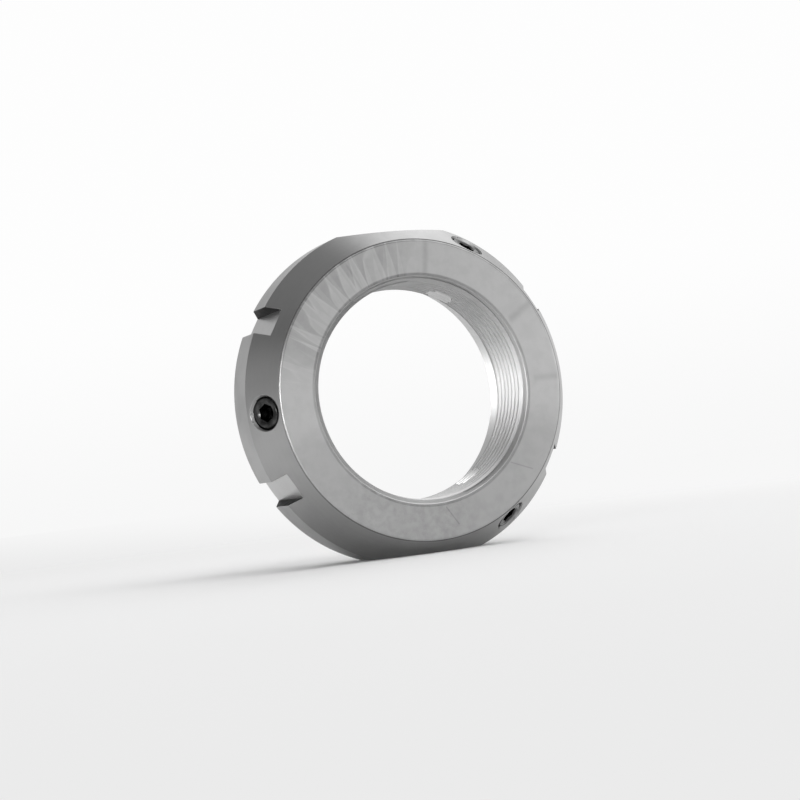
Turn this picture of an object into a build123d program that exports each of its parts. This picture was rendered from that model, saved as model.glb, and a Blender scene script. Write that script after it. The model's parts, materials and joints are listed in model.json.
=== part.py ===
"""Bearing lock nut with three inclined locking screws, in millimetres.

The thread axis is Y, the cone with the screws faces -Y and the face that meets the bearing faces
+Y. The origin is on the thread axis, half way through the nut's width. The nut stands on one of
its two spanner flats, so +Z is up.
"""

from build123d import *
import os
from math import cos, radians, sin, tan

# The nut's outside
outer_diameter = 85.0
width = 25.0
cone_angle = 30.0  # between each cone's slope and the thread axis
front_face_step = 5.5  # from the front face's rim out to the outer diameter
back_face_step = 3.5  # the same at the face that meets the bearing
rim_break = 0.3  # along the front cone, where its edge with the face is broken
flat_depth = 2.5  # from the outer diameter down to each spanner flat

# Hook spanner slots, two at each side of the nut
slot_width = 7.0
slot_depth = 3.0
slot_angle = 30.0  # above and below the horizontal

# M55 x 2 thread, as the bore that its crests leave
thread_crest_diameter = 53.2
mouth_chamfer = 1.35
mouth_break = 0.6  # across the front face, where its edge with the chamfer is broken
mouth_break_depth = 0.25
thread_end_chamfer = 1.4

# Plain recess behind the thread, at the bearing's side
recess_diameter = 58.0
recess_depth = 8.0
recess_break = 0.5

# Locking screws, M8 x 8 with a hexagon socket, square to the front cone
first_screw_angle = 62.4  # anticlockwise from +X, seen from the front
screw_count = 3
screw_station = 4.76  # from the front face back to each screw hole's centre on the cone
screw_diameter = 8.0
screw_length = 8.0
screw_end_chamfer = 0.5
screw_point_chamfer = 1.25
screw_clearance = 0.05
hole_chamfer = 0.55
tap_runout = 1.55  # tapped hole left past the pin's outer end
socket_across_flats = 4.0
socket_depth = 4.0
socket_mouth_diameter = 5.3
socket_mouth_angle = 120.0
socket_drill_diameter = 3.6
socket_drill_depth = 5.0

# Locking pins, pressed on the shaft's thread by the screws
pin_diameter = 6.7
pin_length = 6.75  # on its axis, from the bore outwards
pin_clearance = 0.05
pin_end_chamfer = 0.5
pin_gap = 0.05  # between a screw and the pin behind it

# Worked out from the sizes above
front_y = -width / 2
back_y = width / 2
slope = radians(cone_angle)
outer_radius = outer_diameter / 2
front_face_radius = outer_radius - front_face_step
back_face_radius = outer_radius - back_face_step
crest_radius = thread_crest_diameter / 2
recess_radius = recess_diameter / 2
thread_end_y = back_y - recess_depth
flat_height = outer_radius - flat_depth
slot_floor_radius = outer_radius - slot_depth
station_radius = front_face_radius + screw_station * tan(slope)
pin_radius = pin_diameter / 2
bore_reach = (station_radius - crest_radius) / cos(slope)  # from the cone to the bore, along a hole
drill_depth = bore_reach + pin_diameter  # ends in the open bore
pin_start = bore_reach - pin_length
screw_sink = pin_start - pin_gap - screw_length  # from the cone down to the screw's end face
tapped_radius = screw_diameter / 2 + screw_clearance
tapped_depth = pin_start + tap_runout
socket_corner_radius = socket_across_flats / 2 / cos(radians(30))


def screw_plane(angle):
    """Plane on the front cone at one screw hole's centre, with its normal along the hole, outwards."""
    turn = radians(angle)
    radial = Vector(cos(turn), 0, sin(turn))
    around = Vector(-sin(turn), 0, cos(turn))
    outwards = radial * cos(slope) - Vector(0, sin(slope), 0)
    centre = radial * station_radius + Vector(0, front_y + screw_station, 0)
    return Plane(origin=centre, x_dir=around, z_dir=outwards)


screw_planes = [
    screw_plane(first_screw_angle + 360 / screw_count * number) for number in range(screw_count)
]
back_plane = Plane.XZ.offset(-back_y)

# Nut body: a turned ring, then flats, slots and the three stepped screw holes
with BuildPart() as nut_body:
    with BuildSketch(Plane.XY):
        with BuildLine():
            Polyline(
                (crest_radius + mouth_chamfer, front_y + mouth_break_depth),
                (crest_radius + mouth_chamfer + mouth_break, front_y),
                (front_face_radius - rim_break, front_y),
                (front_face_radius + rim_break * sin(slope), front_y + rim_break * cos(slope)),
                (outer_radius, front_y + front_face_step / tan(slope)),
                (outer_radius, back_y - back_face_step / tan(slope)),
                (back_face_radius, back_y),
                (recess_radius + recess_break, back_y),
                (recess_radius, back_y - recess_break),
                (recess_radius, thread_end_y),
                (crest_radius + thread_end_chamfer, thread_end_y),
                (crest_radius, thread_end_y - thread_end_chamfer),
                (crest_radius, front_y + mouth_break_depth + mouth_chamfer),
                close=True,
            )
        make_face()
    revolve(axis=Axis.Y)

    with BuildSketch(back_plane):
        with Locations((0, flat_height + flat_depth), (0, -flat_height - flat_depth)):
            Rectangle(outer_diameter, 2 * flat_depth)
    extrude(amount=width, mode=Mode.SUBTRACT)

    with BuildSketch(back_plane):
        for side in (0, 180):
            for angle in (side - slot_angle, side + slot_angle):
                with PolarLocations(slot_floor_radius + slot_depth, 1, start_angle=angle):
                    Rectangle(2 * slot_depth, slot_width)
    extrude(amount=width, mode=Mode.SUBTRACT)

    with Locations(*screw_planes):
        CounterSinkHole(
            tapped_radius, tapped_radius + hole_chamfer, depth=tapped_depth, counter_sink_angle=90
        )
        Hole(pin_radius + pin_clearance, depth=drill_depth)

os.makedirs("parts", exist_ok=True)
nut_body.part.label = "nut_body"
export_step(nut_body.part, "parts/nut_body.step")

for number, mouth in enumerate(screw_planes, start=1):
    # Grub screw, which stands on its pin with its socket end just under the cone
    screw_face = mouth.offset(-screw_sink)
    with BuildPart() as grub_screw:
        with BuildSketch(screw_face):
            Circle(screw_diameter / 2)
        extrude(amount=-screw_length)
        ends = grub_screw.edges().filter_by(GeomType.CIRCLE).sort_by_distance(mouth.origin)
        chamfer(ends[0], length=screw_end_chamfer)
        ends = grub_screw.edges().filter_by(GeomType.CIRCLE).sort_by_distance(mouth.origin)
        chamfer(ends[-1], length=screw_point_chamfer)
        with BuildSketch(screw_face):
            RegularPolygon(socket_corner_radius, 6)
        extrude(amount=-socket_depth, mode=Mode.SUBTRACT)
        with Locations(screw_face):
            CounterSinkHole(
                socket_drill_diameter / 2,
                socket_mouth_diameter / 2,
                depth=socket_drill_depth,
                counter_sink_angle=socket_mouth_angle,
            )
    grub_screw.part.label = f"grub_screw_{number}"
    export_step(grub_screw.part, f"parts/grub_screw_{number}.step")

    # Locking pin, whose tip is bored out together with the nut
    with BuildPart() as locking_pin:
        with BuildSketch(mouth.offset(-pin_start)):
            Circle(pin_radius)
        extrude(amount=pin_start - drill_depth)
        with BuildSketch(Plane.XZ):
            Circle(crest_radius)
        extrude(amount=width, both=True, mode=Mode.SUBTRACT)
        chamfer(locking_pin.edges().filter_by(GeomType.CIRCLE), length=pin_end_chamfer)
    locking_pin.part.label = f"locking_pin_{number}"
    export_step(locking_pin.part, f"parts/locking_pin_{number}.step")
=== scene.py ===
"""Dresses the bearing lock nut: turned and milled steel, its real thread, locking pins and socket screws.

Sizes are metres. The thread axis is Y, the front face looks along -Y, and depth is counted from the
front face towards the bearing's side. Angles run anticlockwise from +X, seen from the front.
"""

import json
import math

import bmesh
import bpy
import numpy as np
from mathutils import Matrix, Vector


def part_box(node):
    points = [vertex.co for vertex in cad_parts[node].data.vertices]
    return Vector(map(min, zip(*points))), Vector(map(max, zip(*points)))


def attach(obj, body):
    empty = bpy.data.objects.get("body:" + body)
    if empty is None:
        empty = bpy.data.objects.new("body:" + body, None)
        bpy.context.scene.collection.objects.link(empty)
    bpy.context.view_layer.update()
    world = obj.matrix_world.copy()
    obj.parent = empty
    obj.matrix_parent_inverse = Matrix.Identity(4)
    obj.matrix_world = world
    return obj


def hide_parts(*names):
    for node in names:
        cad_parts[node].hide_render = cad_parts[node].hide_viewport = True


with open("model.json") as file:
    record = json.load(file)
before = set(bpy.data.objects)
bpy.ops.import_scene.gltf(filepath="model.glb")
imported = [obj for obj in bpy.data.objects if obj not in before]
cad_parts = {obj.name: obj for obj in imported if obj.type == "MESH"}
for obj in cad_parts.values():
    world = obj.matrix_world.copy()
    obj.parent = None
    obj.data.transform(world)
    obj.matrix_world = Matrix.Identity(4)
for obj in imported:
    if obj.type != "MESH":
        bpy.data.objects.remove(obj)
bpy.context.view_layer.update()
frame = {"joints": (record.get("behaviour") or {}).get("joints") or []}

MM = 0.001

# The nut, as in the CAD frame
half_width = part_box("nut_body")[1].y
flat_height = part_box("nut_body")[1].z
outer_radius = 42.5 * MM
front_face_radius = 37.0 * MM
back_face_radius = 39.0 * MM
rim_break = 0.3 * MM
slope = math.radians(30)
slot_width = 7.0 * MM
slot_floor_radius = 39.5 * MM
slot_angles = (30, 150, 210, 330)
recess_radius = 29.0 * MM
recess_depth = 8.0 * MM
recess_break = 0.5 * MM

# M55 x 2 thread in the nut, and where it is cut away at both ends
crest_radius = 26.6 * MM
root_radius = 27.5 * MM
pitch = 2.0 * MM
crest_flat = 0.354  # shares of the pitch
root_flat = 0.125
first_crest_depth = 2.35 * MM
mouth_chamfer = 1.35 * MM
mouth_break = 0.6 * MM  # across the face, round the chamfer
mouth_break_depth = 0.25 * MM
thread_end_depth = 2 * half_width - recess_depth
thread_end_radius = 28.0 * MM

# Screw holes, screws and pins, measured along each hole from the cone
hole_station = 4.76 * MM  # depth of a hole's centre on the cone
hole_radius = 4.05 * MM
hole_mouth_radius = 4.6 * MM
drill_radius = 3.4 * MM
pin_radius = 3.35 * MM
pin_length = 6.75 * MM
pin_chamfer = 0.5 * MM
screw_length = 8.0 * MM
screw_radius = 3.98 * MM
screw_root_radius = 3.25 * MM
screw_pitch = 1.25 * MM
screw_first_crest = 0.4 * MM  # below the screw's end face
screw_face_radius = 3.5 * MM
screw_point_radius = 2.75 * MM
socket_mouth_radius = 2.65 * MM
socket_flat_radius = 2.0 * MM
socket_depth = 4.0 * MM
socket_drill_radius = 1.8 * MM
socket_drill_depth = 5.0 * MM
socket_mouth_slope = math.radians(60)  # from the screw's axis, as is the next
drill_point_slope = math.radians(59)
bore_reach = (front_face_radius + hole_station * math.tan(slope) - crest_radius) / math.cos(slope)
pin_start = bore_reach - pin_length
screw_sink = pin_start - 0.05 * MM - screw_length
tapped_depth = pin_start + 1.55 * MM

edge_round = 0.12 * MM  # how far a broken edge reaches over each face
soft_round = 0.25 * MM  # the same round the front face
screw_edge_round = 0.06 * MM
past_the_bore = 12 * MM  # from a pin's outer end, where its bar is cut by the bore
beyond = 5 * MM  # how far cutters reach past what they cut


def mesh_object(name, points, faces, material=None):
    """New object at the origin from an array of points and a list of faces."""
    mesh = bpy.data.meshes.new(name)
    mesh.from_pydata(points.reshape(-1, 3).tolist(), [], faces)
    mesh.update()
    made = bpy.data.objects.new(name, mesh)
    bpy.context.scene.collection.objects.link(made)
    if material:
        mesh.materials.append(material)
    return made


def grid_faces(rows, columns, start=0, seam_shift=0):
    """Quads of a grid that closes on itself: the last column joins the first, seam_shift rows lower."""
    row, column = np.mgrid[0 : rows - 1, 0:columns]
    following = (column + 1) % columns
    drop = np.where(column == columns - 1, seam_shift, 0)
    lower = np.clip(row - drop, 0, rows - 1)
    upper = np.clip(row + 1 - drop, 0, rows - 1)
    quads = np.stack(
        [row * columns + column, lower * columns + following,
         upper * columns + following, (row + 1) * columns + column], axis=-1)
    return (quads.reshape(-1, 4) + start).tolist()


def rounded(corners, reaches, steps=3):
    """Polyline whose inner corners are replaced by short arcs that start and end at reach from them.

    Each arc is a quadratic curve: (1-t)^2 before + 2t(1-t) corner + t^2 after.
    """
    line = [np.array(corners[0])]
    for before, corner, after, reach in zip(corners, corners[1:], corners[2:], reaches):
        before, corner, after = (np.array(p, float) for p in (before, corner, after))
        start = corner + reach * (before - corner) / np.linalg.norm(before - corner)
        end = corner + reach * (after - corner) / np.linalg.norm(after - corner)
        for t in np.linspace(0, 1, steps + 1):
            line.append((1 - t) ** 2 * start + 2 * t * (1 - t) * corner + t ** 2 * end)
    line.append(np.array(corners[-1]))
    return np.array(line)


def clean(made, distance=0.001 * MM):
    """Joins doubled points, drops faces without area and turns all faces outwards."""
    shape = bmesh.new()
    shape.from_mesh(made.data)
    bmesh.ops.remove_doubles(shape, verts=shape.verts, dist=distance)
    bmesh.ops.dissolve_degenerate(shape, edges=shape.edges, dist=distance)
    bmesh.ops.recalc_face_normals(shape, faces=shape.faces)
    shape.to_mesh(made.data)
    shape.free()
    return made


def thread_radius(turns, near, near_flat, far, far_flat):
    """Radius of a thread: near at whole turns, far at half turns, flat there, and straight between.

    The flats are given as shares of a turn.
    """
    away = np.abs(turns - np.round(turns))
    flank = (away - near_flat / 2) / (0.5 - near_flat / 2 - far_flat / 2)
    return near + np.clip(flank, 0, 1) * (far - near)


def thread_turns(near_flat, far_flat, first, last):
    """Grid rows for a thread, in turns: both ends of each flat, their middles, and one on each flank."""
    flank = np.linspace(near_flat / 2, 0.5 - far_flat / 2, 3)
    one_turn = np.concatenate([[0], flank, [0.5], 1 - flank[::-1]])
    return (np.arange(first, last)[:, None] + one_turn[None, :]).ravel(), len(one_turn)


def turns_past_crest(angle, depth):
    """Turns past a crest's middle. On a right-hand thread a crest comes nearer by a pitch per turn."""
    return (depth - first_crest_depth) / pitch + angle / (2 * math.pi)


def bore_radius(angle, depth):
    """Radius of the threaded bore: the thread, or the 45 degree cone at either end where that is wider."""
    thread = thread_radius(turns_past_crest(angle, depth), crest_radius, crest_flat, root_radius, root_flat)
    mouth = crest_radius + mouth_chamfer + mouth_break_depth - depth
    end = thread_end_radius - (thread_end_depth - depth)
    return np.maximum(thread, np.maximum(mouth, end))


def on_axis(radius, angle, depth):
    """Points from cylinder coordinates about the thread axis."""
    return np.stack([radius * np.cos(angle), depth - half_width, radius * np.sin(angle)], axis=-1)


COLUMNS = 360
FIRST_COLUMN = 0.5  # degrees, so that no column runs close to a corner or the side of a hole


def turned_ring():
    """The nut before milling: the section's outside turned about the axis, and the helical thread inside.

    The thread's grid rows run along the helix, so crests and roots stay crisp: row u has depth
    first_crest_depth + pitch * (u - angle / full turn), held between the bore's two ends.
    """
    around = np.arange(COLUMNS) * 2 * math.pi / COLUMNS + math.radians(FIRST_COLUMN)
    width = 2 * half_width
    cone_depth = (outer_radius - front_face_radius) / math.tan(slope)
    back_cone_depth = width - (outer_radius - back_face_radius) / math.tan(slope)
    mouth_radius = crest_radius + mouth_chamfer
    section = rounded(
        [(mouth_radius - edge_round, mouth_break_depth + edge_round), (mouth_radius, mouth_break_depth),
         (mouth_radius + mouth_break, 0), (front_face_radius - rim_break, 0),
         (front_face_radius + rim_break * math.sin(slope), rim_break * math.cos(slope)),
         (outer_radius, cone_depth), (outer_radius, back_cone_depth), (back_face_radius, width),
         (recess_radius + recess_break, width), (recess_radius, width - recess_break),
         (recess_radius, thread_end_depth), (thread_end_radius, thread_end_depth),
         (thread_end_radius - edge_round, thread_end_depth - edge_round)],
        [edge_round] + 3 * [soft_round] + 7 * [edge_round])
    outside = on_axis(section[:, None, 0], around[None, :], section[:, None, 1] + 0 * around[None, :])

    turns, per_turn = thread_turns(crest_flat, root_flat, -2, 9)
    depth = first_crest_depth + pitch * (turns[:, None] - around[None, :] / (2 * math.pi))
    depth = np.clip(depth, mouth_break_depth + edge_round, thread_end_depth - edge_round)
    thread = on_axis(bore_radius(around[None, :], depth), around[None, :], depth)

    faces = grid_faces(len(section), COLUMNS)
    faces += grid_faces(len(turns), COLUMNS, outside.shape[0] * COLUMNS, per_turn)
    points = np.concatenate([outside.reshape(-1, 3), thread.reshape(-1, 3)])
    return clean(mesh_object("nut_ring", points, faces))


def screw_frame(number):
    """Matrix from one hole's own axes to the nut: Z out along the hole, X round the nut, origin on the cone."""
    joint = next(j for j in frame["joints"] if j["name"] == f"pin_{number}_slide")
    outwards = -Vector(joint["axis"])
    around = Vector((0, -1, 0)).cross(outwards).normalized()
    side = outwards.cross(around)
    placed = Matrix((around, side, outwards)).transposed().to_4x4()
    placed.translation = joint["pos_m"]
    return placed


HOLE_COLUMNS = 96
hole_angles = np.arange(HOLE_COLUMNS) * 2 * math.pi / HOLE_COLUMNS


def plain_rows(line):
    """Grid rows of one radius and one depth each, from a list of (radius, depth)."""
    return [(radius + 0 * hole_angles, depth + 0 * hole_angles) for radius, depth in line]


def thread_rows(profile, first, last, low, high, limit):
    """Grid rows that run along the screw's helix, held between two depths.

    Depth is screw_first_crest + screw_pitch * (turns - angle / full turn), and the radius is the
    thread's there, held by limit(radius, depth), which cuts the chamfers.
    """
    turns, per_turn = thread_turns(profile[1], profile[3], first, last)
    depth = screw_sink + screw_first_crest + screw_pitch * (turns[:, None] - hole_angles / (2 * math.pi))
    depth = np.clip(depth, low, high)
    past_crest = (depth - screw_sink - screw_first_crest) / screw_pitch + hole_angles / (2 * math.pi)
    return limit(thread_radius(past_crest, *profile), depth), depth, per_turn


def along_hole(name, before, thread, after, number):
    """Closed solid about one hole's axis: plain rows, rows along a thread, and plain rows again.

    Radius and depth below the cone become (radius cos, radius sin, -depth) in the hole's own axes.
    """
    rows, faces = [], []
    for radius, depth, shift in (stacked(before), thread, stacked(after)):
        faces += grid_faces(len(radius), HOLE_COLUMNS, sum(len(r) for r in rows) * HOLE_COLUMNS, shift)
        rows.append(np.stack([radius * np.cos(hole_angles), radius * np.sin(hole_angles), -depth], axis=-1))
    made = mesh_object(name, np.concatenate(rows), faces)
    made.data.transform(screw_frame(number))
    return clean(made)


def stacked(rows):
    """Radii and depths of plain rows as two arrays, with no shift at the seam."""
    return np.array([row[0] for row in rows]), np.array([row[1] for row in rows]), 0


def block(name, low, high, turn=0):
    """Straight cutter between two corners, turned about the thread axis."""
    corners = np.array([[(low, high)[i][0], (low, high)[j][1], (low, high)[k][2]]
                        for i in (0, 1) for j in (0, 1) for k in (0, 1)])
    faces = [(0, 1, 3, 2), (4, 6, 7, 5), (0, 4, 5, 1), (2, 3, 7, 6), (0, 2, 6, 4), (1, 5, 7, 3)]
    made = mesh_object(name, corners, faces)
    made.data.transform(Matrix.Rotation(-math.radians(turn), 4, "Y"))
    return clean(made)


def cutters():
    """Everything milled or drilled out of the ring, as one object of separate closed shells."""
    reach = half_width + beyond
    made = [block("flat_cutter", (-outer_radius, -reach, flat_height),
                  (outer_radius, reach, outer_radius + beyond), turn) for turn in (0, 180)]
    made += [block("slot_cutter", (slot_floor_radius, -reach, -slot_width / 2),
                   (outer_radius + beyond, reach, slot_width / 2), turn) for turn in slot_angles]
    tap = thread_rows((hole_radius, 0.15, drill_radius + 0.03 * MM, 0.25), -2, 10, 0, tapped_depth,
                      lambda radius, depth: np.maximum(radius, hole_mouth_radius - depth))
    above, below = -2 * MM, 20 * MM
    mouth = plain_rows([(0, above), (hole_mouth_radius, above), (hole_mouth_radius, 0)])
    drill = plain_rows([(drill_radius, tapped_depth), (drill_radius, below), (0, below)])
    before = mouth + [(tap[0][0], tap[1][0])]
    after = [(tap[0][-1], tap[1][-1])] + drill
    made += [along_hole("hole_cutter", before, tap, after, number) for number in (1, 2, 3)]
    return joined("cutters", made)


def joined(name, parts):
    """One object from several, with the parts deleted."""
    shape = bmesh.new()
    for part in parts:
        shape.from_mesh(part.data)
        bpy.data.objects.remove(part)
    mesh = bpy.data.meshes.new(name)
    shape.to_mesh(mesh)
    shape.free()
    made = bpy.data.objects.new(name, mesh)
    bpy.context.scene.collection.objects.link(made)
    return made


def applied(made):
    """The same object with its modifiers turned into mesh."""
    bpy.context.view_layer.update()
    seen = made.evaluated_get(bpy.context.evaluated_depsgraph_get())
    mesh = bpy.data.meshes.new_from_object(seen)
    made.modifiers.clear()
    made.data = mesh
    return made


def socket_screw(number):
    """Socket set screw on its pin: drill cone, hexagon, countersink, face, thread and chamfered point.

    A hexagon's wall is at flat radius / cos(angle mod 60 - 30 degrees), with corners round the nut.
    """
    hexagon = socket_flat_radius / np.cos(np.mod(hole_angles, math.pi / 3) - math.pi / 6)
    broken = screw_edge_round
    inside = plain_rows([
        (0, socket_drill_depth + socket_drill_radius / math.tan(drill_point_slope)),
        (socket_drill_radius, socket_drill_depth), (socket_drill_radius, socket_depth)])
    inside += [(hexagon, socket_depth + 0 * hexagon),
               (hexagon, (socket_mouth_radius - hexagon) / math.tan(socket_mouth_slope))]
    inside += plain_rows([(socket_mouth_radius - broken, broken * 0.58), (socket_mouth_radius + broken, 0),
                          (screw_face_radius - broken, 0), (screw_face_radius, 0.4 * broken)])
    inside = [(radius, depth + screw_sink) for radius, depth in inside]
    end = screw_sink + screw_length
    thread = thread_rows(
        (screw_radius, 0.125, screw_root_radius, 0.25), -1, 9, screw_sink + 0.4 * broken, end,
        lambda radius, depth: np.minimum(radius, np.minimum(
            screw_face_radius - 0.4 * broken + depth - screw_sink, screw_point_radius + end - depth)))
    point = plain_rows([(screw_point_radius, end), (0, end)])
    made = along_hole(f"socket_screw_{number}", inside, thread, point, number)
    made.data.shade_smooth()
    made.data.set_sharp_from_angle(angle=math.radians(35))
    return made


def locking_pin(number, ring):
    """Pin with a chamfered outer end, whose tip carries the nut's thread, as it is bored with the nut."""
    end = pin_start + past_the_bore
    bar = [(0, pin_start), (pin_radius - pin_chamfer, pin_start), (pin_radius, pin_start + pin_chamfer),
           (pin_radius, end), (0, end)]
    made = along_hole(f"pin_{number}_steel", plain_rows(bar[:2]), stacked(plain_rows(bar[1:])),
                      plain_rows(bar[-1:]), number)
    cut = made.modifiers.new("boring", "BOOLEAN")
    cut.operation = "INTERSECT"
    cut.solver = "EXACT"
    cut.object = ring
    applied(made)
    clean(made, 0.005 * MM)
    made.data.shade_smooth()
    made.data.set_sharp_from_angle(angle=math.radians(30))
    return made


def nut(ring):
    """The finished nut: the ring with flats, slots and holes cut, and its milled edges broken."""
    tools = cutters()
    cut = ring.modifiers.new("milling", "BOOLEAN")
    cut.operation = "DIFFERENCE"
    cut.solver = "EXACT"
    cut.object = tools
    applied(ring)
    bpy.data.objects.remove(tools)
    ring.name = ring.data.name = "nut_steel"
    clean(ring, 0.01 * MM)

    shape = bmesh.new()
    shape.from_mesh(ring.data)
    weight = shape.edges.layers.float.new("bevel_weight_edge")
    for edge in shape.edges:
        middle = (edge.verts[0].co + edge.verts[1].co) / 2
        outside = math.hypot(middle.x, middle.z) > recess_radius + 1 * MM
        if outside and len(edge.link_faces) == 2 and edge.is_convex:
            if edge.calc_face_angle() > math.radians(28):
                edge[weight] = 1
    shape.to_mesh(ring.data)
    shape.free()
    broken = ring.modifiers.new("edges", "BEVEL")
    broken.limit_method = "WEIGHT"
    broken.width = edge_round
    broken.segments = 2
    broken.use_clamp_overlap = False
    applied(ring)
    ring.data.shade_smooth()
    ring.data.set_sharp_from_angle(angle=math.radians(35))
    even = ring.modifiers.new("even_shading", "WEIGHTED_NORMAL")
    even.weight = 100
    even.keep_sharp = True
    return true_normals(applied(ring))


def measured(items, kind, size=3):
    """One property of all the items of a mesh, as an array with size columns."""
    read = np.empty(len(items) * size)
    items.foreach_get(kind, read)
    return read.reshape(-1, size)


def true_normals(ring):
    """Shading normals of the cones and the outer band from their formula, also where faces were cut.

    At slope s from the axis a normal is cos(s) outwards from the axis and sin(s) along it.
    """
    mesh = ring.data
    normals = measured(mesh.corner_normals, "vector")
    centre, faced = measured(mesh.polygons, "center"), measured(mesh.polygons, "normal")
    corner = measured(mesh.vertices, "co")[measured(mesh.loops, "vertex_index", 1).astype(int).ravel()]
    face = np.repeat(np.arange(len(faced)), measured(mesh.polygons, "loop_total", 1).astype(int).ravel())
    flat = np.array((1.0, 0, 1.0))
    depth = centre[:, 1] + half_width
    for lean, radius in ((-slope, front_face_radius + depth * math.tan(slope)), (0, outer_radius),
                         (slope, back_face_radius + (2 * half_width - depth) * math.tan(slope))):
        along = np.array((0, math.sin(lean), 0))
        middle, outwards = (math.cos(lean) * place * flat / np.hypot(place[:, :1], place[:, 2:]) + along
                            for place in (centre, corner))
        fits = (faced * middle).sum(axis=1) > math.cos(math.radians(1.2))
        fits &= np.abs(np.hypot(centre[:, 0], centre[:, 2]) - radius) < 0.02 * MM
        normals[fits[face]] = outwards[fits[face]]
    mesh.normals_split_custom_set(normals.tolist())
    return ring


def region(ring):
    """Number of the finish on each face of the nut, from the face's place and direction.

    0 turned outside, 1 end faces, 2 flats and slot floors, 3 threaded bore, 4 recess, 5 countersinks,
    6 inside the screw holes, 7 slot walls.
    """
    centre, normal = measured(ring.data.polygons, "center"), measured(ring.data.polygons, "normal")
    radius, depth = np.hypot(centre[:, 0], centre[:, 2]), centre[:, 1] + half_width
    near = 0.03 * MM
    number = np.zeros(len(centre), int)
    number[(np.abs(normal[:, 1]) > 0.9) & (radius > crest_radius + mouth_chamfer)] = 1
    number[np.abs(centre[:, 2]) > flat_height - near] = 2
    turned = (np.abs(np.abs(normal[:, 1]) - math.sin(slope)) < 0.02) | (radius > outer_radius - near)
    for turn in slot_angles:
        along = centre[:, 0] * math.cos(math.radians(turn)) + centre[:, 2] * math.sin(math.radians(turn))
        aside = centre[:, 2] * math.cos(math.radians(turn)) - centre[:, 0] * math.sin(math.radians(turn))
        slot = (along > slot_floor_radius - near) & (np.abs(aside) < slot_width / 2 + near) & ~turned
        facing = normal[:, 2] * math.cos(math.radians(turn)) - normal[:, 0] * math.sin(math.radians(turn))
        number[slot] = np.where(np.abs(facing[slot]) > 0.9, 7, 2)
    number[(radius < recess_radius + near) & (depth > thread_end_depth - near)] = 4
    number[(radius < crest_radius + mouth_chamfer + mouth_break) & (depth < thread_end_depth - near)
           & (number != 1)] = 3
    lowest = -12 * MM
    for hole in (1, 2, 3):
        to_hole = np.array(screw_frame(hole).inverted())
        place = centre @ to_hole[:3, :3].T + to_hole[:3, 3]
        inside = (np.hypot(place[:, 0], place[:, 1]) < hole_mouth_radius) & (place[:, 2] > lowest)
        inside &= (normal @ to_hole[2, :3] < 0.9) & (place[:, 2] < 0) & (radius > root_radius)
        number[inside] = np.where(place[inside, 2] > hole_radius - hole_mouth_radius - near, 5, 6)
    return number


def add(tree, kind, sockets=None, **settings):
    """New shader node with its settings made, and its sockets set or linked."""
    made = tree.nodes.new("ShaderNode" + kind)
    for name, value in settings.items():
        setattr(made, name, value)
    for name, value in (sockets or {}).items():
        if isinstance(value, bpy.types.NodeSocket):
            tree.links.new(value, made.inputs[name])
        else:
            made.inputs[name].default_value = value
    return made


def calc(tree, operation, *values):
    """Output of a Math node on numbers or sockets."""
    return add(tree, "Math", dict(enumerate(values)), operation=operation).outputs[0]


def between(tree, value, low, high, to_low=0.0, to_high=1.0):
    """Smooth step of a value from low to high."""
    return add(tree, "MapRange", {"Value": value, "From Min": low, "From Max": high, "To Min": to_low,
                                  "To Max": to_high}, interpolation_type="SMOOTHSTEP").outputs["Result"]


def noise(tree, scale, detail=2.0, roughness=0.5, **place):
    """Value of a Noise node on W or on a Vector."""
    dimensions = "1D" if "W" in place else "3D"
    return add(tree, "TexNoise", {"Scale": scale, "Detail": detail, "Roughness": roughness, **place},
               noise_dimensions=dimensions).outputs[0]


def vector(tree, x, y, z):
    return add(tree, "CombineXYZ", {"X": x, "Y": y, "Z": z}).outputs[0]


def group(name, inputs, outputs):
    """New node group with named number inputs and outputs: its tree, its input and its output node."""
    tree = bpy.data.node_groups.new(name, "ShaderNodeTree")
    for label, value in inputs.items():
        tree.interface.new_socket(label, in_out="INPUT", socket_type="NodeSocketFloat").default_value = value
    for label in outputs:
        tree.interface.new_socket(label, in_out="OUTPUT", socket_type="NodeSocketFloat")
    return tree, tree.nodes.new("NodeGroupInput").outputs, tree.nodes.new("NodeGroupOutput").inputs


def use(tree, effect, **values):
    """Outputs of a node group placed in a tree."""
    made = tree.nodes.new("ShaderNodeGroup")
    made.node_tree = effect
    for label, value in values.items():
        if isinstance(value, bpy.types.NodeSocket):
            tree.links.new(value, made.inputs[label])
        else:
            made.inputs[label].default_value = value
    return made.outputs


def cylinder_place():
    """Group: radius and depth in millimetres, and the cosine and sine of the angle round the nut."""
    tree, _, out = group("place_round_the_nut", {}, ["Radius", "Depth", "Cosine", "Sine"])
    split = add(tree, "SeparateXYZ", {0: add(tree, "TexCoord").outputs["Object"]}).outputs
    radius = calc(tree, "SQRT", calc(tree, "ADD", calc(tree, "MULTIPLY", split[0], split[0]),
                                     calc(tree, "MULTIPLY", split[2], split[2])))
    tree.links.new(calc(tree, "MULTIPLY", radius, 1000.0), out["Radius"])
    tree.links.new(calc(tree, "MULTIPLY_ADD", split[1], 1000.0, half_width * 1000), out["Depth"])
    tree.links.new(calc(tree, "DIVIDE", split[0], radius), out["Cosine"])
    tree.links.new(calc(tree, "DIVIDE", split[2], radius), out["Sine"])
    return tree


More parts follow.
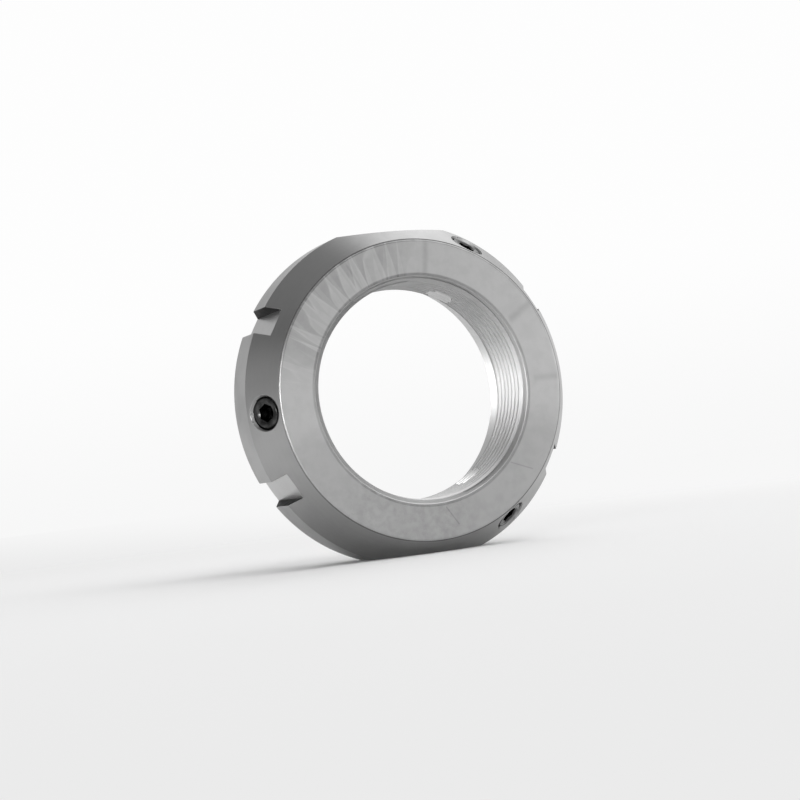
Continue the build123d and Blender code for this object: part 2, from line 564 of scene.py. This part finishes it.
def lathe_lines(place):
    """Group: fine lines of the turning tool, as noise on radius + depth, broken a little round the nut."""
    tree, given, out = group("lathe_lines", {"Spacing": 0.2}, ["Height", "Tone"])
    at = use(tree, place)
    way = calc(tree, "ADD", at["Radius"], at["Depth"])
    drift = noise(tree, 60.0, 1.0, Vector=add(tree, "TexCoord").outputs["Object"])
    way = calc(tree, "MULTIPLY_ADD", drift, 0.06, way)
    way = calc(tree, "DIVIDE", way, given["Spacing"])
    fine = noise(tree, 1.0, 3.0, 0.6, W=way)
    broad = noise(tree, 0.13, 2.0, 0.5, W=way)
    tree.links.new(fine, out["Height"])
    tone = calc(tree, "ADD", calc(tree, "MULTIPLY", fine, 0.5), calc(tree, "MULTIPLY", broad, 0.5))
    tree.links.new(tone, out["Tone"])
    return tree


def oil_film():
    """Group: thin cloudy film left by oil and handling, as folded noise."""
    tree, given, out = group("oil_film", {"Size": 5.0}, ["Mask", "Specks"])
    place = add(tree, "TexCoord").outputs["Object"]
    scale = calc(tree, "DIVIDE", 1000.0, given["Size"])
    cloud = noise(tree, scale, 5.0, 0.62, Vector=place)
    tree.links.new(between(tree, cloud, 0.38, 0.66), out["Mask"])
    speck = noise(tree, calc(tree, "MULTIPLY", scale, 6.0), 2.0, 0.5, Vector=place)
    tree.links.new(between(tree, speck, 0.64, 0.74), out["Specks"])
    return tree


place_group = cylinder_place()
lathe_group = lathe_lines(place_group)
film_group = oil_film()


def metal(name, grey, roughness):
    """New steel material with its plain values set: the material, its tree and its shader."""
    made = bpy.data.materials.new(name)
    made.use_nodes = True
    shader = made.node_tree.nodes["Principled BSDF"]
    shader.inputs["Base Color"].default_value = (grey, grey, grey, 1)
    shader.inputs["Metallic"].default_value = 1
    shader.inputs["Roughness"].default_value = roughness
    return made, made.node_tree, shader


def tint(tree, shader, shade):
    """Base colour times a shade that varies over the surface."""
    colour = shader.inputs["Base Color"].default_value[:3]
    scaled = add(tree, "VectorMath", {0: colour, "Scale": shade}, operation="SCALE").outputs[0]
    tree.links.new(scaled, shader.inputs["Base Color"])


def bump(tree, shader, height, strength, distance):
    made = add(tree, "Bump", {"Height": height, "Strength": strength, "Distance": distance})
    tree.links.new(made.outputs[0], shader.inputs["Normal"])


def turned_steel():
    """Cones and outer band: finely turned, satin, rougher and with painted shade on the front face's broken rim.
    """
    made, tree, shader = metal("turned_steel", 0.42, 0.33)
    at = use(tree, place_group)
    lines = use(tree, lathe_group, Spacing=0.16)
    film = use(tree, film_group, Size=9.0)
    shade = calc(tree, "MULTIPLY_ADD", film["Mask"], -0.05, 1.0)
    shade = calc(tree, "MULTIPLY_ADD", lines["Tone"], 0.10, calc(tree, "SUBTRACT", shade, 0.05))
    rim = between(tree, at["Depth"], 0.42, 0.30)
    # Painted shade: the lower half of the cones is darker, standing in for the shadowed floor they reflect.
    shade = calc(tree, "MULTIPLY_ADD", between(tree, at["Sine"], -0.1, -1.0), -0.30, shade)
    # Painted shade on the front face's broken rim, strongest at its top, where it damps a highlight.
    painted_rim_shade = calc(tree, "MULTIPLY", rim, between(tree, at["Sine"], 0.1, 0.5, -0.35, -0.65))
    tint(tree, shader, calc(tree, "ADD", shade, painted_rim_shade))
    rough = calc(tree, "MULTIPLY_ADD", lines["Tone"], 0.10, 0.28)
    rough = calc(tree, "MULTIPLY_ADD", rim, 0.22, rough)
    tree.links.new(calc(tree, "MULTIPLY_ADD", film["Mask"], 0.04, rough), shader.inputs["Roughness"])
    bump(tree, shader, lines["Height"], 0.12, 0.00004)
    return made


def around_from(tree, at, middle):
    """Angle round the nut from a middle direction, in radians. Its seam lies at the far side."""
    turn = math.radians(middle)
    along = calc(tree, "ADD", calc(tree, "MULTIPLY", at["Cosine"], math.cos(turn)),
                 calc(tree, "MULTIPLY", at["Sine"], math.sin(turn)))
    across = calc(tree, "SUBTRACT", calc(tree, "MULTIPLY", at["Sine"], math.cos(turn)),
                  calc(tree, "MULTIPLY", at["Cosine"], math.sin(turn)))
    return calc(tree, "ARCTAN2", across, along)


# The front face's finish, in millimetres, and its angles in degrees
mouth_edge = (crest_radius + mouth_chamfer + mouth_break) * 1000
rim_edge = (front_face_radius - rim_break) * 1000
sheen_angle = 13  # where the painted sheen of the turned face is brightest, here and at the far side
tongue_angle = 130
tongue_reach = 0.85  # radians to each side
stain_angle = -106
streaks = (  # angle, half width, inner and outer end
    (82, 1.2, 28.6, 36.6), (31, 1.5, 29.5, 36.5), (0, 1.4, 30.0, 36.5), (117, 0.5, 28.6, 35.5))
scratches = (((2.2, -29.2), (5.0, -33.6)), ((20.9, -20.2), (26.6, -22.4)))  # x and z of both ends
scratch_width = 0.28


def oil_tongues(place):
    """Group: tongues of dried oil, triangles on the outer rim that point at the bore.

    Cells of 1 / Count radians lie side by side, bent by noise. A tongue fills its cell where the way
    out from the bore, plus a random length of its own, is more than the distance from the cell's middle.
    Edge is the pale line that is left along the tongue's sides.
    """
    tree, given, out = group("oil_tongues", {"Count": 10.0, "Lean": 0.0}, ["Mask", "Edge"])
    at = use(tree, place)
    around = around_from(tree, at, tongue_angle)
    outwards = between(tree, at["Radius"], 28.0, 37.5)
    bent = noise(tree, 1.0, 1.0, 0.5, Vector=vector(tree, calc(tree, "MULTIPLY", around, 5.0),
                                                    calc(tree, "MULTIPLY", at["Radius"], 0.03), given["Count"]))
    way = calc(tree, "ADD", calc(tree, "MULTIPLY", around, given["Count"]), calc(tree, "MULTIPLY", bent, 2.0))
    way = calc(tree, "MULTIPLY_ADD", outwards, given["Lean"], way)
    aside = calc(tree, "ABSOLUTE", calc(tree, "SUBTRACT", calc(tree, "FRACT", way), 0.5))
    aside = calc(tree, "MULTIPLY", aside, 2.0)
    length = noise(tree, 2.7, 0.0, 0.5, W=calc(tree, "FLOOR", way))
    width = calc(tree, "MULTIPLY_ADD", outwards, 0.7, calc(tree, "MULTIPLY_ADD", length, 2.4, -1.05))
    fill = calc(tree, "SUBTRACT", width, aside)
    spread = between(tree, calc(tree, "ABSOLUTE", around), tongue_reach, tongue_reach / 2)
    tree.links.new(calc(tree, "MULTIPLY", between(tree, fill, -0.08, 0.08), spread), out["Mask"])
    edge = between(tree, calc(tree, "ABSOLUTE", calc(tree, "ADD", fill, 0.1)), 0.22, 0.0)
    tree.links.new(calc(tree, "MULTIPLY", edge, spread), out["Edge"])
    return tree


def streak(tree, at, angle, width, inner, outer):
    """Mask of a soft radial line on the face, in millimetres: full on the line, gone at its width and ends."""
    aside = calc(tree, "ABSOLUTE", calc(tree, "MULTIPLY", around_from(tree, at, angle), at["Radius"]))
    line = between(tree, aside, width, 0.0)
    line = calc(tree, "MULTIPLY", line, between(tree, at["Radius"], inner - 0.6, inner + 0.6))
    return calc(tree, "MULTIPLY", line, between(tree, at["Radius"], outer + 0.6, outer - 0.6))


def scratch(tree, start, end, width):
    """Mask of a scratch between two points (x, z) of the face, in millimetres: distance to the segment."""
    a, b = (Vector((point[0], 0, point[1])) * MM for point in (start, end))
    place = add(tree, "TexCoord").outputs["Object"]
    flat = add(tree, "VectorMath", {0: place, 1: (1, 0, 1)}, operation="MULTIPLY").outputs[0]
    way = add(tree, "VectorMath", {0: flat, 1: a}, operation="SUBTRACT").outputs[0]
    along = (b - a) / (b - a).length_squared
    share = add(tree, "VectorMath", {0: way, 1: along}, operation="DOT_PRODUCT").outputs["Value"]
    share = add(tree, "Clamp", {"Value": share}).outputs[0]
    nearest = add(tree, "VectorMath", {0: b - a, "Scale": share}, operation="SCALE").outputs[0]
    off = add(tree, "VectorMath", {0: way, 1: nearest}, operation="DISTANCE").outputs["Value"]
    return between(tree, off, width * MM, 0.0)


def faced_steel():
    """End faces: turned flat, rougher round the bore's mouth and darker there as painted shade, with a thin film
    of oil.

    On the front one the oil has dried in tongues at the upper left, streaks, and a mottled stain below.
    """
    made, tree, shader = metal("faced_steel", 0.50, 0.4)
    at = use(tree, place_group)
    lines = use(tree, lathe_group, Spacing=0.12)
    film = use(tree, film_group, Size=4.0)
    stain = use(tree, film_group, Size=1.6)
    mouth = between(tree, at["Radius"], mouth_edge + 0.35, mouth_edge - 0.05)
    tongues = use(tree, tongue_group, Count=8.0, Lean=0.3)
    ripples = use(tree, tongue_group, Count=15.0, Lean=0.5)
    marks = calc(tree, "MULTIPLY", tongues["Mask"], -0.12)
    marks = calc(tree, "MULTIPLY_ADD", tongues["Edge"], 0.05, marks)
    marks = calc(tree, "MULTIPLY_ADD", ripples["Mask"], -0.06, marks)
    for mark in streaks:
        marks = calc(tree, "MULTIPLY_ADD", streak(tree, at, *mark), -0.13, marks)
    stained = between(tree, calc(tree, "ABSOLUTE", around_from(tree, at, stain_angle)), 0.75, 0.3)
    mottle = calc(tree, "MULTIPLY", calc(tree, "ADD", stain["Mask"], stain["Specks"]), stained)
    marks = calc(tree, "MULTIPLY_ADD", mottle, -0.09, marks)
    for start, end in scratches:
        marks = calc(tree, "MULTIPLY_ADD", scratch(tree, start, end, scratch_width), -0.18, marks)
    # Painted shade on the rim's upper part, where it damps a highlight.
    rim = between(tree, at["Radius"], rim_edge - 0.32, rim_edge - 0.2)
    rim = calc(tree, "MULTIPLY", rim, between(tree, at["Sine"], 0.1, 0.5))
    marks = calc(tree, "MULTIPLY_ADD", rim, -0.3, marks)
    front = between(tree, at["Depth"], 1.0, 0.5)
    # Painted sheen: lighter along one line across the face and darker across it, as a turned face shines.
    painted_sheen = calc(tree, "COSINE", calc(tree, "MULTIPLY", around_from(tree, at, sheen_angle), 2.0))
    shade = calc(tree, "MULTIPLY_ADD", painted_sheen, 0.04, 0.97)
    # Darker towards the bottom, and a little towards the top.
    shade = calc(tree, "MULTIPLY_ADD", between(tree, at["Sine"], -0.12, -0.45), -0.14, shade)
    shade = calc(tree, "MULTIPLY_ADD", between(tree, at["Sine"], 0.2, 0.6), -0.06, shade)
    shade = calc(tree, "MULTIPLY_ADD", film["Mask"], -0.06, shade)
    shade = calc(tree, "MULTIPLY_ADD", marks, front, shade)
    # The darker colour round the bore's mouth is painted shade.
    tint(tree, shader, calc(tree, "MULTIPLY_ADD", mouth, -0.28, shade))
    rough = calc(tree, "MULTIPLY_ADD", mouth, 0.2, calc(tree, "MULTIPLY_ADD", tongues["Mask"], 0.03, 0.38))
    rough = calc(tree, "MULTIPLY_ADD", film["Mask"], 0.05, rough)
    tree.links.new(rough, shader.inputs["Roughness"])
    bump(tree, shader, lines["Height"], 0.10, 0.00003)
    return made


def milled_steel():
    """Flats and slots: milled along the axis, a little rougher."""
    made, tree, shader = metal("milled_steel", 0.56, 0.36)
    place = add(tree, "TexCoord").outputs["Object"]
    mapped = add(tree, "Mapping", {"Vector": place, "Scale": (1.0, 0.06, 1.0)}).outputs[0]
    marks = noise(tree, 3500.0, 2.0, 0.6, Vector=mapped)
    film = use(tree, film_group, Size=6.0)
    shade = calc(tree, "MULTIPLY_ADD", film["Mask"], -0.05, 0.95)
    tint(tree, shader, calc(tree, "MULTIPLY_ADD", marks, 0.10, shade))
    tree.links.new(calc(tree, "MULTIPLY_ADD", marks, 0.14, 0.29), shader.inputs["Roughness"])
    bump(tree, shader, marks, 0.15, 0.00004)
    return made


def threaded_steel():
    """Bore thread and its chamfers: a thin film of oil over the tool's lines, and painted shade at the top."""
    made, tree, shader = metal("threaded_steel", 0.43, 0.3)
    lines = use(tree, lathe_group, Spacing=0.07)
    film = use(tree, film_group, Size=5.0)
    shade = calc(tree, "MULTIPLY_ADD", film["Mask"], -0.08, 1.03)
    sine = use(tree, place_group)["Sine"]
    # Painted shade: the upper part of the bore is darker.
    tint(tree, shader, calc(tree, "MULTIPLY_ADD", between(tree, sine, 0.3, 0.95), -0.12, shade))
    tree.links.new(calc(tree, "MULTIPLY_ADD", lines["Tone"], 0.12, 0.39), shader.inputs["Roughness"])
    bump(tree, shader, lines["Height"], 0.15, 0.00003)
    return made


def bored_steel():
    """Recess behind the thread: bored with a coarser feed."""
    made, tree, shader = metal("bored_steel", 0.60, 0.3)
    lines = use(tree, lathe_group, Spacing=0.25)
    film = use(tree, film_group, Size=5.0)
    tint(tree, shader, calc(tree, "MULTIPLY_ADD", film["Mask"], -0.07, 1.0))
    tree.links.new(calc(tree, "MULTIPLY_ADD", lines["Tone"], 0.14, 0.32), shader.inputs["Roughness"])
    bump(tree, shader, lines["Height"], 0.25, 0.00005)
    return made


def oil_and_painted_shade_steel(name, level):
    """Countersinks, slot walls and the inside of the holes: darkened steel as painted shade, with a film of oil.
    """
    made, tree, shader = metal(name, level, 0.38)
    # Painted shade on the reflections as well.
    shader.inputs["Specular Tint"].default_value = (0.35, 0.35, 0.35, 1)
    film = use(tree, film_group, Size=2.0)
    tint(tree, shader, calc(tree, "MULTIPLY_ADD", film["Mask"], -0.2, 1.08))
    tree.links.new(calc(tree, "MULTIPLY_ADD", film["Mask"], 0.12, 0.32), shader.inputs["Roughness"])
    return made


def black_steel():
    """Screws: black oxide, thin and grey where it is handled."""
    made, tree, shader = metal("black_steel", 0.06, 0.3)
    film = use(tree, film_group, Size=1.5)
    tint(tree, shader, calc(tree, "MULTIPLY_ADD", film["Mask"], 0.8, 0.6))
    tree.links.new(calc(tree, "MULTIPLY_ADD", film["Specks"], 0.2, 0.20), shader.inputs["Roughness"])
    bump(tree, shader, film["Mask"], 0.1, 0.00003)
    return made


def pin_steel():
    """Pins: hard steel, a little smoother than the thread."""
    made, tree, shader = metal("pin_steel", 0.50, 0.18)
    film = use(tree, film_group, Size=1.5)
    tint(tree, shader, calc(tree, "MULTIPLY_ADD", film["Mask"], -0.1, 1.03))
    tree.links.new(calc(tree, "MULTIPLY_ADD", film["Mask"], 0.08, 0.15), shader.inputs["Roughness"])
    return made


tongue_group = oil_tongues(place_group)
ring = turned_ring()
pins = [locking_pin(number, ring) for number in (1, 2, 3)]
nut(ring)
# The last three finishes are darkened as painted shade: countersinks, inside the holes, slot walls.
for finish in (turned_steel(), faced_steel(), milled_steel(), threaded_steel(), bored_steel(),
               oil_and_painted_shade_steel("oil_and_painted_shade_steel", 0.30), oil_and_painted_shade_steel("hole_painted_shade_steel", 0.06), oil_and_painted_shade_steel("slot_wall_painted_shade_steel", 0.12)):
    ring.data.materials.append(finish)
ring.data.polygons.foreach_set("material_index", region(ring))
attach(ring, "nut")
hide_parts("nut_body")
black, bright = black_steel(), pin_steel()
for number, pin in enumerate(pins, start=1):
    screw = socket_screw(number)
    screw.data.materials.append(black)
    pin.data.materials.append(bright)
    for piece, node, finish in ((screw, "grub_screw", "black_steel"), (pin, "locking_pin", "pin_steel")):
        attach(piece, f"{node}_{number}")
        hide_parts(f"{node}_{number}")


# The camera as it stood for the photograph, and the studio round it
camera_place = Vector((-176.75, -432.66, -21.28)) * MM
camera_right = Vector((0.9221, -0.3680, -0.1192))
sight = Vector((0.3751, 0.9260, 0.0424))
focal_length, picture_width = 1870, 800  # pixels
nut_distance = 0.47

HORIZON = 0.93  # glow of the floor far away, painted light, and white of the backdrop above it
FLOOR_GLOW = 0.83  # the floor's painted glow beside the nut and in front of it
ZENITH = 0.985  # the backdrop's white higher up
LIGHTS = (  # direction, cosines between which a light rises, strength
    ((0.25, 0.96, 0.10), 0.55, 0.99, 0.60),  # broad, behind the nut
    ((-0.38, 0.92, 0.03), 0.94, 0.99, 0.20),  # behind it at the left
    ((0.42, 0.515, 0.745), 0.90, 0.99, 1.25),  # above, behind at the right
    ((0.36, -0.52, 0.775), 0.84, 0.97, 1.40),  # above, in front at the right
    ((0.85, -0.25, 0.46), 0.60, 0.97, 1.10),  # broad, at the right
    ((0.46, -0.88, 0.04), 0.78, 0.98, 0.60),  # level in front, for the face
    ((-0.97, 0.15, 0.05), 0.80, 0.99, 0.32),  # level at the left
    ((0.95, 0.30, 0.05), 0.80, 0.97, 0.40),  # level at the right
    ((-0.30, 0.28, 0.90), 0.85, 0.98, 0.12),  # overhead
    ((-0.45, -0.75, 0.45), 0.80, 0.97, 0.32),  # above, in front at the left
    ((-0.926, -0.375, 0.04), 0.96, 0.995, 0.50),  # small, at the left
    ((0.02, -0.57, 0.82), 0.965, 0.995, 1.60),  # small, above in front, for the cone's top
    ((-0.61, -0.79, -0.03), 0.945, 0.996, 13.0))  # window, for the face's left and the edges


def floor():
    """Pale floor under the nut: a flat grid that, away from it, fades into a white glow as a sweep does: painted
    light.

    Behind the nut the glow rises with the distance, a little sooner at the right.
    """
    reach, lines = 3.0, 25
    line = np.linspace(-reach, reach, lines)
    x, y = np.meshgrid(line, line, indexing="ij")
    points = np.stack([x, y, 0 * x - flat_height], axis=-1)
    row, column = np.mgrid[0 : lines - 1, 0 : lines - 1]
    first = row * lines + column
    faces = np.stack([first, first + lines, first + lines + 1, first + 1], axis=-1).reshape(-1, 4).tolist()
    made = mesh_object("floor", points, faces)
    paint = bpy.data.materials.new("pale_floor")
    paint.use_nodes = True
    tree = paint.node_tree
    shader = tree.nodes["Principled BSDF"]
    shader.inputs["Base Color"].default_value = (0.95, 0.95, 0.95, 1)
    shader.inputs["Roughness"].default_value = 0.8
    shader.inputs["Specular IOR Level"].default_value = 0.2
    place = add(tree, "TexCoord").outputs["Object"]
    split = add(tree, "SeparateXYZ", {0: place}).outputs
    away = calc(tree, "SQRT", calc(tree, "ADD", calc(tree, "MULTIPLY", split[0], split[0]),
                                   calc(tree, "MULTIPLY", split[1], split[1])))
    level = Vector((1, 1, 0))
    behind, aside = (add(tree, "VectorMath", {0: place, 1: way * level}, operation="DOT_PRODUCT").outputs["Value"]
                     for way in (sight, camera_right))
    near = calc(tree, "DIVIDE", calc(tree, "MULTIPLY_ADD", aside, -1.5, nut_distance),
                calc(tree, "ADD", calc(tree, "MAXIMUM", behind, 0.0), nut_distance))
    # Painted light: the floor's glow, dimmer near the nut and towards the camera.
    strength = between(tree, near, 1.0, 0.25, FLOOR_GLOW, HORIZON)
    white = add(tree, "Emission", {"Color": (1, 1, 1, 1), "Strength": strength})
    path = add(tree, "LightPath").outputs
    seen = calc(tree, "MAXIMUM", path["Is Camera Ray"],
                calc(tree, "MAXIMUM", path["Is Glossy Ray"], path["Is Transmission Ray"]))
    share = calc(tree, "MULTIPLY", between(tree, away, 0.02, 0.36), seen)
    mixed = add(tree, "MixShader", {0: share, 1: shader.outputs[0], 2: white.outputs[0]})
    tree.links.new(mixed.outputs[0], tree.nodes["Material Output"].inputs["Surface"])
    made.data.materials.append(paint)
    return made


def camera():
    """Camera at its place, looking along its line of sight."""
    right = camera_right.normalized()
    up = right.cross(sight.normalized()).normalized()
    seen = bpy.data.cameras.new("camera")
    seen.sensor_width = 36
    seen.lens = seen.sensor_width * focal_length / picture_width
    seen.clip_start = 0.01
    made = bpy.data.objects.new("camera", seen)
    bpy.context.scene.collection.objects.link(made)
    placed = Matrix((right, up, right.cross(up))).transposed().to_4x4()
    placed.translation = camera_place
    made.matrix_world = placed
    bpy.context.scene.camera = made


def studio():
    """World: soft light from a few broad directions, and plain white where the camera looks past the nut.

    Each light is a smooth step on the cosine between a direction and the light's own. The metal
    sees the same white behind the nut.
    """
    world = bpy.data.worlds.new("studio")
    world.use_nodes = True
    bpy.context.scene.world = world
    tree = world.node_tree
    towards = add(tree, "TexCoord").outputs["Generated"]

    def cosine(way):
        along = add(tree, "VectorMath", {0: towards, 1: way.normalized()}, operation="DOT_PRODUCT")
        return along.outputs["Value"]

    light = 0.20
    for way, edge, full, strength in LIGHTS:
        light = calc(tree, "ADD", light, between(tree, cosine(Vector(way)), edge, full, 0.0, strength))
    tree.links.new(light, tree.nodes["Background"].inputs["Strength"])
    height = add(tree, "SeparateXYZ", {0: towards}).outputs[2]
    strength = between(tree, height, -0.02, 0.11, HORIZON, ZENITH)
    white = add(tree, "Background", {"Color": (1, 1, 1, 1), "Strength": strength})
    path = add(tree, "LightPath").outputs
    mirrored = calc(tree, "MAXIMUM", path["Is Glossy Ray"], path["Is Transmission Ray"])
    mirrored = calc(tree, "MULTIPLY", mirrored, between(tree, cosine(sight), 0.93, 0.96))
    mixed = add(tree, "MixShader", {0: calc(tree, "MAXIMUM", path["Is Camera Ray"], mirrored),
                                    1: tree.nodes["Background"].outputs[0], 2: white.outputs[0]})
    tree.links.new(mixed.outputs[0], tree.nodes["World Output"].inputs["Surface"])
    tree.nodes["Background"].inputs["Color"].default_value = (1, 1, 1, 1)


def lamp():
    """Small soft spot behind the nut at the left that shines into the bore, not on the floor.

    The camera doesn't see it.
    """
    place, aim, radiance = Vector((-33, 150, 7)) * MM, Vector((28, 2, 0)) * MM, 8.2
    glow = bpy.data.lights.new("bore_lamp", "SPOT")
    glow.shadow_soft_size = 17 * MM
    glow.spot_size, glow.spot_blend = math.radians(24), 0.5
    glow.energy = radiance * (2 * math.pi * glow.shadow_soft_size) ** 2
    made = bpy.data.objects.new("bore_lamp", glow)
    bpy.context.scene.collection.objects.link(made)
    made.visible_camera = False
    made.location = place
    made.rotation_euler = (aim - place).to_track_quat("-Z", "Y").to_euler()


camera()
floor()
studio()
lamp()
bpy.context.scene.view_settings.view_transform = "Standard"
